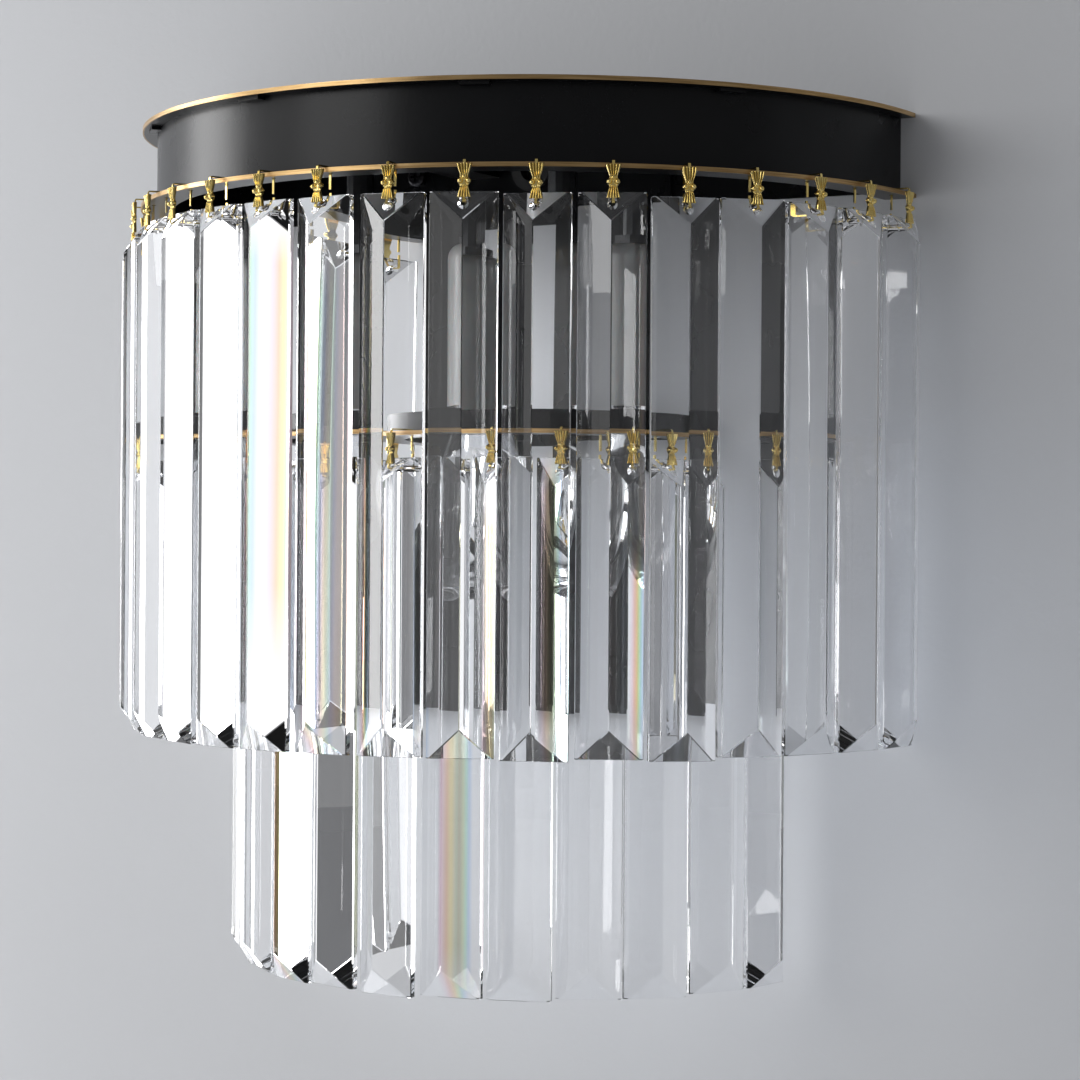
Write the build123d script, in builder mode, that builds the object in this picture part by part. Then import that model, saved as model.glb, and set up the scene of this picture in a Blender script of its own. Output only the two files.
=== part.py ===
from build123d import *
import os
from math import atan, cos, degrees, radians, sin, sqrt

# Half-round crystal wall sconce with two tiers of hanging prisms.
# Frame: the wall is the plane Y = 0, the front faces -Y, X runs to the right and Z up.
# Z = 0 is the level of the two cover screws. An angle round the sconce is measured from
# straight ahead (-Y), positive to the right. All sizes are in millimetres.

os.makedirs("parts", exist_ok=True)

# ------------------------------------------------------------------ driving dimensions

# Canopy: a half-round box of painted sheet
rim_radius = 150.0
rim_thickness = 1.5
canopy_top = 12.5
band_inset = 5.5
band_wall = 1.2
band_height = 27.0
tab_width = 10.0
tab_reach = 3.2
tab_count = 4
tab_first_angle = -48.0
tab_pitch = 34.0

# Rings that carry the prisms
ring_proud = 0.5
ring_width = 12.0
ring_thickness = 1.5
ring_hole_inset = 4.0
ring_hole_diameter = 1.9

# Lower tier
tier_drop = 85.0
lower_ring_radius = 108.3
lower_band_inset = 6.0
lower_band_height = 7.0
lower_bar_thickness = 1.5
lower_bar_side_gap = 2.3
lower_screw_spacing = 80.0

# Sheets and fixings at the wall
sheet = 1.2
canopy_back_depth = 6.0
tray_half_width = 58.0
tray_top = 8.0
tray_bottom = -203.0
tray_corner = 2.0
bracket_thickness = 1.5
bracket_height = 20.0
bracket_base_half_width = 40.0
bracket_joggle_run = 4.6
wall_screw_spacing = 60.0
wall_slot_width = 4.5
wall_slot_length = 12.0
bracket_cable_hole = 18.0
cover_screw_spacing = 100.0
cover_screw_diameter = 4.0
cover_head_diameter = 7.2
cover_head_height = 2.6
cover_screw_length = 6.4
small_screw_diameter = 3.0
small_head_diameter = 5.6
small_head_height = 1.9
small_screw_length = 5.0
recess_width = 0.9
earth_screw_x = 15.0
earth_screw_z = -4.0

# Cable entry and terminal block
grommet_hole = 12.0
grommet_flange = 16.0
grommet_bore = 8.0
grommet_lip = 1.4
terminal_width = 26.0
terminal_depth = 16.0
terminal_height = 10.0
terminal_poles = 3
terminal_pitch = 8.0
terminal_wire_hole = 3.4
terminal_screw_hole = 4.2

# Lamps
lamp_spacing = 84.0
lamp_forward = 62.0
lamp_strap_half_length = 60.0
lamp_strap_width = 25.0
lamp_strap_thickness = 1.5
lamp_strap_drop = 2.0
lamp_leg_spacing = 44.0
lamp_leg_width = 16.0
lamp_flange_screw_height = 4.0
nipple_diameter = 10.0
nipple_bore = 7.0
nipple_top = 3.5
nipple_grip = 8.0
nut_across_flats = 14.0
nut_thickness = 3.0
sleeve_diameter = 25.0
sleeve_wall = 1.2
sleeve_top = -35.0
sleeve_length = 57.0
sleeve_dome = 5.0
sleeve_dome_taper = 40.0
holder_diameter = 21.6
holder_boss_diameter = 12.4
holder_boss_height = 6.0
holder_length = 53.0
holder_socket_depth = 27.0
bulb_cap_diameter = 13.8
bulb_cap_length = 26.5
bulb_diameter = 35.0
bulb_neck_diameter = 19.0
bulb_glass_length = 69.4
bulb_belly_drop = 28.0
bulb_neck_steps = 3
bulb_tip_steps = 5
bulb_tip_turn = 82.0
lead_diameter = 2.6
lead_height = 7.3

# Prisms
upper_count = 19
lower_count = 13
prism_width = 22.6
prism_length = 185.0
prism_ridge = 8.2
prism_back = 1.6
prism_side_flat = 2.2
prism_end_flat = 1.3
prism_bevel = 9.8
prism_gap = 8.0
prism_inset = 1.1
prism_hole_drop = 3.8
prism_hole = 2.3

# Bow clips of stamped brass strip
bow_standoff = 2.4
bow_thickness = 1.2
bow_width = 4.9
bow_height = 9.7
bow_drop = 0.6
bow_neck_width = 2.2
bow_neck_rise = 1.2
bow_knot_drop = 4.9
bow_knot_width = 4.0
bow_foot_width = 4.4
knot_height = 0.9
pin_width = 0.9
pin_thickness = 0.5
pin_tail = 5.3
pin_overlap = 1.0
pin_front_gap = 0.8
pin_back_gap = 1.3

# Sides of round pieces and holes that are drawn as regular polygons
round_sides = 16
small_sides = 12
fine_sides = 8
hole_sides = 6

# Clearances
seat_clearance = 0.15
screw_clearance = 0.2
thread_clearance = 0.05
sleeve_clearance = 0.2
socket_clearance = 0.2

# ------------------------------------------------------------------ worked-out places

band_radius = rim_radius - band_inset
ring_radius = rim_radius + ring_proud
band_top = canopy_top - rim_thickness
band_bottom = band_top - band_height
ring_bottom = band_bottom - ring_thickness
lower_ring_bottom = ring_bottom - tier_drop
lower_ring_top = lower_ring_bottom + ring_thickness
lower_band_radius = lower_ring_radius - lower_band_inset
lower_band_top = lower_ring_top + lower_band_height

canopy_back_front = canopy_back_depth + sheet
tray_front = canopy_back_front + sheet
lower_bar_front = tray_front + lower_bar_thickness
lower_bar_half_width = lower_ring_radius - lower_bar_side_gap

upper_pitch = 180.0 / upper_count
lower_pitch = 180.0 / (lower_count + 1)

strap_top = -lamp_strap_drop + lamp_strap_thickness
strap_bottom = -lamp_strap_drop
sleeve_underside = sleeve_top - sleeve_wall
sleeve_bottom = sleeve_top - sleeve_length
holder_bottom = sleeve_underside - holder_length
nipple_bottom = sleeve_underside - nipple_grip
socket_roof = holder_bottom + holder_socket_depth
bulb_seat = holder_bottom - sleeve_clearance
lamp_sides = {"left": -lamp_spacing / 2, "right": lamp_spacing / 2}


def outward(angle):
    """Level direction away from the wall's centre point, at an angle round the sconce."""
    return Vector(sin(radians(angle)), -cos(radians(angle)), 0)


def sideways(angle):
    """Level direction along the rim, to the right as seen from outside."""
    return Vector(cos(radians(angle)), sin(radians(angle)), 0)


def arc_point(angle, radius, height):
    """A point on a circle round the wall's centre line."""
    return outward(angle) * radius + Vector(0, 0, height)


def level_plane(angle, radius, height):
    """Sketch plane seen from above: x sideways, y inward."""
    return Plane(arc_point(angle, radius, height), x_dir=sideways(angle), z_dir=(0, 0, 1))


def facing_plane(angle, radius, height):
    """Sketch plane seen from outside: x sideways, y up."""
    return Plane(arc_point(angle, radius, height), x_dir=sideways(angle), z_dir=outward(angle))


def radial_plane(angle, radius, height):
    """Upright sketch plane that cuts the sconce along a radius: x outward, y up."""
    return Plane(arc_point(angle, radius, height), x_dir=outward(angle), z_dir=-sideways(angle))


def wall_plane(depth):
    """Upright plane in front of the wall, seen from the room: x to the right, y up."""
    return Plane((0, -depth, 0), x_dir=(1, 0, 0), z_dir=(0, -1, 0))


def tier_angles(count, pitch):
    """Angles of the prisms of a tier, from the left end to the right end."""
    return [(index - (count - 1) / 2) * pitch for index in range(count)]


def hole_ring(radius, count, pitch):
    """Locations of a tier's holes round a circle, for use in a level sketch."""
    first = tier_angles(count, pitch)[0]
    return PolarLocations(radius, count, first - 90, pitch * (count - 1), endpoint=True)


# ------------------------------------------------------------------ canopy

with BuildPart() as top_plate:
    with BuildSketch(Plane.XY.offset(band_top)):
        Circle(rim_radius)
        Rectangle(2 * rim_radius, rim_radius, align=(Align.CENTER, Align.MAX), mode=Mode.INTERSECT)
    extrude(amount=rim_thickness)
top_plate.part.label = "top_plate"

with BuildPart() as canopy_band:
    with BuildSketch(Plane.XY.offset(band_bottom)):
        Circle(band_radius)
        Circle(band_radius - band_wall, mode=Mode.SUBTRACT)
        Rectangle(2 * rim_radius, rim_radius, align=(Align.CENTER, Align.MAX), mode=Mode.INTERSECT)
    extrude(amount=band_height)
    # spot-welded tabs folded out under the top plate
    with BuildSketch(Plane.XY.offset(band_top - band_wall)):
        tab_span = tab_pitch * (tab_count - 1)
        with PolarLocations(band_radius, tab_count, tab_first_angle - 90, tab_span, endpoint=True):
            Rectangle(2 * tab_reach, tab_width)
        Circle(band_radius - band_wall / 2, mode=Mode.SUBTRACT)
    extrude(amount=band_wall)
canopy_band.part.label = "canopy_band"

with BuildPart() as upper_hanging_ring:
    with BuildSketch(Plane.XY.offset(ring_bottom)):
        Circle(ring_radius)
        Circle(ring_radius - ring_width, mode=Mode.SUBTRACT)
        Rectangle(2 * ring_radius, ring_radius, align=(Align.CENTER, Align.MAX), mode=Mode.INTERSECT)
        with hole_ring(ring_radius - ring_hole_inset, upper_count, upper_pitch):
            RegularPolygon(ring_hole_diameter / 2, hole_sides, mode=Mode.SUBTRACT)
    extrude(amount=ring_thickness)
upper_hanging_ring.part.label = "upper_hanging_ring"

canopy_back_half_width = sqrt((band_radius - band_wall) ** 2 - canopy_back_front ** 2) - seat_clearance
small_hole = small_screw_diameter + screw_clearance
cover_hole = cover_screw_diameter + 2 * screw_clearance

with BuildPart() as canopy_back:
    with BuildSketch(wall_plane(canopy_back_depth)):
        with Locations((0, band_bottom)):
            Rectangle(2 * canopy_back_half_width, band_height, align=(Align.CENTER, Align.MIN))
        RegularPolygon(grommet_hole / 2, round_sides, mode=Mode.SUBTRACT)
        with GridLocations(cover_screw_spacing, 0, 2, 1):
            RegularPolygon(cover_hole / 2, fine_sides, mode=Mode.SUBTRACT)
        with Locations((0, lamp_flange_screw_height)):
            with GridLocations(lamp_leg_spacing, 0, 2, 1):
                RegularPolygon(small_hole / 2, fine_sides, mode=Mode.SUBTRACT)
    extrude(amount=sheet)
canopy_back.part.label = "canopy_back"

# ------------------------------------------------------------------ back plate and bracket

flange_top = ring_bottom - sheet

with BuildPart() as back_plate:
    # face sheet
    with BuildSketch(wall_plane(canopy_back_front)):
        with Locations((0, tray_bottom)):
            Rectangle(2 * tray_half_width, tray_top - tray_bottom, align=(Align.CENTER, Align.MIN))
    extrude(amount=sheet)
    # side and bottom flanges folded back to the wall, below the canopy
    with BuildSketch(wall_plane(0)):
        with Locations((0, tray_bottom)):
            Rectangle(2 * tray_half_width, flange_top - tray_bottom, align=(Align.CENTER, Align.MIN))
        with Locations((0, tray_bottom + sheet)):
            Rectangle(2 * (tray_half_width - sheet), flange_top - tray_bottom - sheet,
                      align=(Align.CENTER, Align.MIN), mode=Mode.SUBTRACT)
    extrude(amount=canopy_back_front)
    # rounded lower corners
    fillet(back_plate.edges().filter_by(Axis.Y).group_by(Axis.Z)[0], radius=tray_corner)
    # holes for the grommet, the cover screws, the lamp bracket and the lower bar
    with BuildSketch(wall_plane(canopy_back_front)):
        RegularPolygon(grommet_hole / 2, round_sides)
        with GridLocations(cover_screw_spacing, 0, 2, 1):
            RegularPolygon(cover_hole / 2, fine_sides)
        with Locations((0, lamp_flange_screw_height)):
            with GridLocations(lamp_leg_spacing, 0, 2, 1):
                RegularPolygon(small_hole / 2, fine_sides)
        with Locations((0, (lower_ring_bottom + lower_band_top) / 2)):
            with GridLocations(lower_screw_spacing, 0, 2, 1):
                RegularPolygon(small_hole / 2, fine_sides)
    extrude(amount=sheet, mode=Mode.SUBTRACT)
back_plate.part.label = "back_plate"

bracket_end = tray_half_width
joggle_end = bracket_base_half_width + bracket_joggle_run
joggle_rise = canopy_back_depth - bracket_thickness

with BuildPart() as wall_bracket:
    with BuildSketch(Plane.XY.offset(-bracket_height / 2)):
        with BuildLine():
            Polyline(
                (0, 0),
                (bracket_base_half_width + bracket_thickness / 2, 0),
                (joggle_end + bracket_thickness / 2, -joggle_rise),
                (bracket_end, -joggle_rise),
                (bracket_end, -canopy_back_depth),
                (joggle_end, -canopy_back_depth),
                (bracket_base_half_width, -bracket_thickness),
                (0, -bracket_thickness),
                close=True,
            )
        make_face()
        mirror(about=Plane.YZ)
    extrude(amount=bracket_height)
    with BuildSketch(wall_plane(0)):
        RegularPolygon(bracket_cable_hole / 2, round_sides)
        with GridLocations(wall_screw_spacing, 0, 2, 1):
            SlotOverall(wall_slot_length, wall_slot_width)
        with GridLocations(cover_screw_spacing, 0, 2, 1):
            RegularPolygon(cover_screw_diameter / 2 + thread_clearance, fine_sides)
        with Locations((earth_screw_x, earth_screw_z)):
            RegularPolygon(cover_screw_diameter / 2 + thread_clearance, fine_sides)
    extrude(amount=canopy_back_depth, mode=Mode.SUBTRACT)
wall_bracket.part.label = "wall_bracket"


def pan_screws(seat_depth, places, diameter, length, head_diameter, head_height):
    """Pan-head cross-recess screws whose heads seat on a plane in front of the wall."""
    with BuildPart() as screws:
        with BuildSketch(wall_plane(seat_depth)):
            with Locations(*places):
                RegularPolygon(head_diameter / 2, small_sides)
        extrude(amount=head_height)
        crowns = screws.faces().filter_by(Axis.Y).sort_by(Axis.Y)[:len(places)]
        chamfer(crowns.edges(), length=head_height * 0.35)
        with BuildSketch(wall_plane(seat_depth)):
            with Locations(*places):
                RegularPolygon(diameter / 2, fine_sides)
        extrude(amount=-length)
        with BuildSketch(wall_plane(seat_depth + head_height * 0.4)):
            with Locations(*places):
                Rectangle(head_diameter * 0.5, recess_width)
                Rectangle(recess_width, head_diameter * 0.5)
        extrude(amount=head_height, mode=Mode.SUBTRACT)
    return screws


cover_places = [(-cover_screw_spacing / 2, 0), (cover_screw_spacing / 2, 0)]
cover_screws = pan_screws(tray_front, cover_places, cover_screw_diameter, cover_screw_length,
                          cover_head_diameter, cover_head_height)
cover_screws.part.label = "cover_screws"

earth_screw = pan_screws(bracket_thickness, [(earth_screw_x, earth_screw_z)], cover_screw_diameter,
                         bracket_thickness, cover_head_diameter, cover_head_height)
earth_screw.part.label = "earth_screw"

with BuildPart() as cable_grommet:
    with BuildSketch(wall_plane(canopy_back_depth - grommet_lip)):
        RegularPolygon(grommet_flange / 2, round_sides)
    extrude(amount=grommet_lip)
    with BuildSketch(wall_plane(canopy_back_depth)):
        RegularPolygon(grommet_hole / 2 - thread_clearance, round_sides)
    extrude(amount=2 * sheet)
    with BuildSketch(wall_plane(tray_front)):
        RegularPolygon(grommet_flange / 2, round_sides)
    extrude(amount=grommet_lip)
    with BuildSketch(wall_plane(canopy_back_depth - grommet_lip)):
        Circle(grommet_bore / 2)
    extrude(amount=2 * (sheet + grommet_lip), mode=Mode.SUBTRACT)
cable_grommet.part.label = "cable_grommet"

# ------------------------------------------------------------------ lower tier frame

with BuildPart() as lower_hanging_ring:
    with BuildSketch(Plane.XY.offset(lower_ring_bottom)):
        Circle(lower_ring_radius)
        Circle(lower_ring_radius - ring_width, mode=Mode.SUBTRACT)
        with Locations((0, -lower_bar_front)):
            Rectangle(2 * lower_ring_radius, lower_ring_radius, align=(Align.CENTER, Align.MAX),
                      mode=Mode.INTERSECT)
        with hole_ring(lower_ring_radius - ring_hole_inset, lower_count, lower_pitch):
            RegularPolygon(ring_hole_diameter / 2, hole_sides, mode=Mode.SUBTRACT)
    extrude(amount=ring_thickness)
lower_hanging_ring.part.label = "lower_hanging_ring"

with BuildPart() as lower_band:
    with BuildSketch(Plane.XY.offset(lower_ring_top)):
        Circle(lower_band_radius)
        Circle(lower_band_radius - band_wall, mode=Mode.SUBTRACT)
        with Locations((0, -lower_bar_front)):
            Rectangle(2 * lower_ring_radius, lower_ring_radius, align=(Align.CENTER, Align.MAX),
                      mode=Mode.INTERSECT)
    extrude(amount=lower_band_height)
lower_band.part.label = "lower_band"

lower_bar_middle = (lower_ring_bottom + lower_band_top) / 2

with BuildPart() as lower_back_bar:
    with BuildSketch(wall_plane(tray_front)):
        with Locations((0, lower_bar_middle)):
            Rectangle(2 * lower_bar_half_width, lower_band_top - lower_ring_bottom)
            with GridLocations(lower_screw_spacing, 0, 2, 1):
                RegularPolygon(small_hole / 2, fine_sides, mode=Mode.SUBTRACT)
    extrude(amount=lower_bar_thickness)
lower_back_bar.part.label = "lower_back_bar"

lower_screw_places = [
    (-lower_screw_spacing / 2, lower_bar_middle),
    (lower_screw_spacing / 2, lower_bar_middle),
]
lower_bar_screws = pan_screws(lower_bar_front, lower_screw_places, small_screw_diameter,
                              small_screw_length, small_head_diameter, small_head_height)
lower_bar_screws.part.label = "lower_bar_screws"

# ------------------------------------------------------------------ lamp bracket and wiring

strap_back = lamp_forward - lamp_strap_width / 2
strap_front = lamp_forward + lamp_strap_width / 2
flange_front = tray_front + lamp_strap_thickness

with BuildPart() as lamp_bracket:
    with BuildSketch(Plane.XY.offset(strap_bottom)):
        with Locations((0, -lamp_forward)):
            strap = Rectangle(2 * lamp_strap_half_length, lamp_strap_width)
            chamfer(strap.vertices(), length=lamp_strap_width * 0.3)
        with Locations((0, -(tray_front + lamp_forward) / 2)):
            with GridLocations(lamp_leg_spacing, 0, 2, 1):
                Rectangle(lamp_leg_width, lamp_forward - tray_front)
        with Locations((0, -lamp_forward)):
            with GridLocations(lamp_spacing, 0, 2, 1):
                RegularPolygon(nipple_diameter / 2 + screw_clearance, small_sides,
                               mode=Mode.SUBTRACT)
    extrude(amount=lamp_strap_thickness)
    # flanges turned up against the face of the back plate
    with BuildSketch(wall_plane(tray_front)):
        with Locations((0, strap_bottom)):
            with GridLocations(lamp_leg_spacing, 0, 2, 1):
                Rectangle(lamp_leg_width, tray_top - strap_bottom, align=(Align.CENTER, Align.MIN))
        with Locations((0, lamp_flange_screw_height)):
            with GridLocations(lamp_leg_spacing, 0, 2, 1):
                RegularPolygon(small_hole / 2, fine_sides, mode=Mode.SUBTRACT)
    extrude(amount=lamp_strap_thickness)
lamp_bracket.part.label = "lamp_bracket"

bracket_screw_places = [
    (-lamp_leg_spacing / 2, lamp_flange_screw_height),
    (lamp_leg_spacing / 2, lamp_flange_screw_height),
]
bracket_screws = pan_screws(flange_front, bracket_screw_places, small_screw_diameter,
                            small_screw_length, small_head_diameter, small_head_height)
bracket_screws.part.label = "bracket_screws"

with BuildPart() as threaded_nipples:
    with BuildSketch(Plane.XY.offset(nipple_bottom)):
        with Locations((0, -lamp_forward)):
            with GridLocations(lamp_spacing, 0, 2, 1):
                RegularPolygon(nipple_diameter / 2, small_sides)
                RegularPolygon(nipple_bore / 2, small_sides, mode=Mode.SUBTRACT)
    extrude(amount=nipple_top - nipple_bottom)
threaded_nipples.part.label = "threaded_nipples"

with BuildPart() as lock_nuts:
    for seat in (strap_top, strap_bottom - nut_thickness, sleeve_top):
        with BuildSketch(Plane.XY.offset(seat)):
            with Locations((0, -lamp_forward)):
                with GridLocations(lamp_spacing, 0, 2, 1):
                    RegularPolygon(nut_across_flats / 2, 6, major_radius=False)
                    RegularPolygon(nipple_diameter / 2 + thread_clearance, small_sides,
                                   mode=Mode.SUBTRACT)
        extrude(amount=nut_thickness)
lock_nuts.part.label = "lock_nuts"

terminal_back = lamp_forward - terminal_depth / 2

with BuildPart() as terminal_block:
    with BuildSketch(Plane.XY.offset(strap_top)):
        with Locations((0, -lamp_forward)):
            Rectangle(terminal_width, terminal_depth)
    extrude(amount=terminal_height)
    # notches between the poles
    with BuildSketch(Plane.XY.offset(strap_top + terminal_height)):
        with Locations((0, -lamp_forward)):
            with GridLocations(terminal_pitch, 0, terminal_poles - 1, 1):
                Rectangle(1.2, terminal_depth)
    extrude(amount=-terminal_height * 0.4, mode=Mode.SUBTRACT)
    # wire entries from front to back
    with BuildSketch(wall_plane(terminal_back)):
        with Locations((0, strap_top + terminal_height * 0.4)):
            with GridLocations(terminal_pitch, 0, terminal_poles, 1):
                RegularPolygon(terminal_wire_hole / 2, hole_sides)
    extrude(amount=terminal_depth, mode=Mode.SUBTRACT)
    # clamp screws from above
    with BuildSketch(Plane.XY.offset(strap_top + terminal_height)):
        with Locations((0, -lamp_forward)):
            with GridLocations(terminal_pitch, terminal_depth / 2, terminal_poles, 2):
                RegularPolygon(terminal_screw_hole / 2, hole_sides)
    extrude(amount=-terminal_height * 0.35, mode=Mode.SUBTRACT)
terminal_block.part.label = "terminal_block"

lead_start_height = strap_top + terminal_height * 0.4
lead_front = lamp_forward + terminal_depth / 2

with BuildPart() as lamp_leads:
    for side in (-1, 1):
        with BuildLine():
            lead_route = Polyline(
                (side * terminal_pitch, -lead_front, lead_start_height),
                (side * terminal_pitch, -(lead_front + 4.0), lead_start_height),
                (side * (terminal_pitch + 4.0), -(lead_front + 5.5), lead_start_height),
                (side * (lamp_spacing / 2 - 12), -(lead_front + 1.5), lead_height),
                (side * (lamp_spacing / 2 - 2.2), -(lamp_forward + 0.8), lead_height),
                (side * lamp_spacing / 2, -lamp_forward, lead_height - 2.4),
                (side * lamp_spacing / 2, -lamp_forward, nipple_bottom),
            )
        with BuildSketch(Plane(lead_route @ 0, z_dir=lead_route % 0)):
            RegularPolygon(lead_diameter / 2, hole_sides)
        sweep(path=lead_route, transition=Transition.RIGHT)
lamp_leads.part.label = "lamp_leads"

# ------------------------------------------------------------------ lamps

sleeve_radius = sleeve_diameter / 2
nipple_radius = nipple_diameter / 2
cap_radius = bulb_cap_diameter / 2
bulb_belly = sleeve_bottom - bulb_belly_drop
bulb_radius = bulb_diameter / 2
bulb_tip_drop = (bulb_glass_length - bulb_belly_drop) / sin(radians(bulb_tip_turn))


def lamp_plane_at(lamp_x, height):
    """Level sketch plane on a lamp's axis."""
    return Plane((lamp_x, -lamp_forward, height), x_dir=(1, 0, 0), z_dir=(0, 0, 1))


def ringed_form(rings):
    """Faceted round form from its widest ring up to its narrowest, one slope for each step."""
    with BuildPart() as form:
        for (across, height), (next_across, next_height) in zip(rings, rings[1:]):
            rise = next_height - height
            with BuildSketch(Plane.XY.offset(height)):
                RegularPolygon(across, round_sides, major_radius=False)
            extrude(amount=rise, taper=degrees(atan((across - next_across) / rise)))
    return form.part


# candle bulb: the neck narrows upwards from the belly and the tip is an ellipse below it
to_flat = cos(radians(180 / round_sides))
neck_radius = bulb_neck_diameter / 2
neck_rings = []
for step in range(bulb_neck_steps + 1):
    turn = radians(90 * step / bulb_neck_steps)
    neck_rings.append((to_flat * (neck_radius + (bulb_radius - neck_radius) * cos(turn)),
                       (bulb_seat - bulb_belly) * step / bulb_neck_steps))
tip_rings = []
for step in range(bulb_tip_steps + 1):
    turn = radians(bulb_tip_turn * step / bulb_tip_steps)
    tip_rings.append((to_flat * bulb_radius * cos(turn), bulb_tip_drop * sin(turn)))

bulb_neck = ringed_form(neck_rings)
bulb_tip = ringed_form(tip_rings)

lamp_parts = []
for side, lamp_x in lamp_sides.items():
    with BuildPart() as candle_sleeve:
        with BuildSketch(lamp_plane_at(lamp_x, sleeve_bottom)):
            RegularPolygon(sleeve_radius, round_sides)
            RegularPolygon(sleeve_radius - sleeve_wall, round_sides, mode=Mode.SUBTRACT)
        extrude(amount=sleeve_length - sleeve_dome)
        # domed top, hollow below, with a hole for the nipple
        with BuildSketch(lamp_plane_at(lamp_x, sleeve_top - sleeve_dome)):
            RegularPolygon(sleeve_radius, round_sides)
        extrude(amount=sleeve_dome, taper=sleeve_dome_taper)
        with BuildSketch(lamp_plane_at(lamp_x, sleeve_top - sleeve_dome)):
            RegularPolygon(sleeve_radius - sleeve_wall, round_sides)
        extrude(amount=sleeve_dome - sleeve_wall, taper=sleeve_dome_taper, mode=Mode.SUBTRACT)
        with BuildSketch(lamp_plane_at(lamp_x, sleeve_top)):
            RegularPolygon(nipple_radius + screw_clearance, small_sides)
        extrude(amount=-sleeve_dome, mode=Mode.SUBTRACT)

    with BuildPart() as lamp_holder:
        # boss under the top of the sleeve, then the socket body
        with BuildSketch(lamp_plane_at(lamp_x, sleeve_underside)):
            RegularPolygon(holder_boss_diameter / 2, small_sides)
        extrude(amount=-holder_boss_height)
        with BuildSketch(lamp_plane_at(lamp_x, sleeve_underside - holder_boss_height)):
            RegularPolygon(holder_diameter / 2, small_sides)
        extrude(amount=holder_boss_height - holder_length)
        # nipple thread, lead way and lamp socket
        with BuildSketch(lamp_plane_at(lamp_x, sleeve_underside)):
            RegularPolygon(nipple_radius + thread_clearance, small_sides)
        extrude(amount=-nipple_grip, mode=Mode.SUBTRACT)
        with BuildSketch(lamp_plane_at(lamp_x, sleeve_underside)):
            RegularPolygon(nipple_bore / 2, small_sides)
        extrude(amount=-holder_length, mode=Mode.SUBTRACT)
        with BuildSketch(lamp_plane_at(lamp_x, holder_bottom)):
            RegularPolygon(cap_radius + socket_clearance, small_sides, major_radius=False)
        extrude(amount=holder_socket_depth, mode=Mode.SUBTRACT)

    with BuildPart() as bulb:
        add(Pos(lamp_x, -lamp_forward, bulb_belly) * bulb_neck)
        add(Pos(lamp_x, -lamp_forward, bulb_belly) * Rot(180, 0, 0) * bulb_tip)
        with BuildSketch(lamp_plane_at(lamp_x, bulb_seat)):
            RegularPolygon(cap_radius, small_sides)
        extrude(amount=bulb_cap_length - sleeve_clearance)

    candle_sleeve.part.label = "candle_sleeve_" + side
    lamp_holder.part.label = "lamp_holder_" + side
    bulb.part.label = "bulb_" + side
    lamp_parts += [candle_sleeve, lamp_holder, bulb]

# ------------------------------------------------------------------ prisms


def prism(angle, carrier_radius, carrier_bottom):
    """Cut-glass prism with a flat back, a front ridge, bevelled ends and a pin hole."""
    radius = carrier_radius - prism_inset
    top = carrier_bottom - prism_gap
    half_width = prism_width / 2
    side_front = prism_back - prism_side_flat
    with BuildPart() as glass:
        with BuildSketch(level_plane(angle, radius, top)):
            Polygon(
                (half_width, side_front), (half_width, prism_back), (-half_width, prism_back),
                (-half_width, side_front), (0, -prism_ridge),
                align=None,
            )
        extrude(amount=-prism_length)
        # bevels at both ends of the front
        with BuildSketch(radial_plane(angle, radius, top)):
            Polygon(
                (prism_end_flat, 0), (prism_ridge, -prism_bevel),
                (prism_ridge, prism_bevel - prism_length), (prism_end_flat, -prism_length),
                (-prism_back, -prism_length), (-prism_back, 0),
                align=None,
            )
        extrude(amount=prism_width, both=True, mode=Mode.INTERSECT)
        # pin hole
        with BuildSketch(facing_plane(angle, radius, top - prism_hole_drop)):
            RegularPolygon(prism_hole / 2, hole_sides, major_radius=False)
        extrude(amount=prism_ridge, both=True, mode=Mode.SUBTRACT)
    return glass


# front of the glass at the pin hole, where the end bevel crosses it
bevel_slope = (prism_ridge - prism_end_flat) / prism_bevel
glass_at_pin = prism_end_flat + bevel_slope * prism_hole_drop

prisms = []
for number, angle in enumerate(tier_angles(upper_count, upper_pitch), start=1):
    crystal = prism(angle, ring_radius, ring_bottom)
    crystal.part.label = f"upper_crystal_{number:02d}"
    prisms.append(crystal)
for number, angle in enumerate(tier_angles(lower_count, lower_pitch), start=1):
    crystal = prism(angle, lower_ring_radius, lower_ring_bottom)
    crystal.part.label = f"lower_crystal_{number:02d}"
    prisms.append(crystal)

# ------------------------------------------------------------------ bow clips


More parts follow.
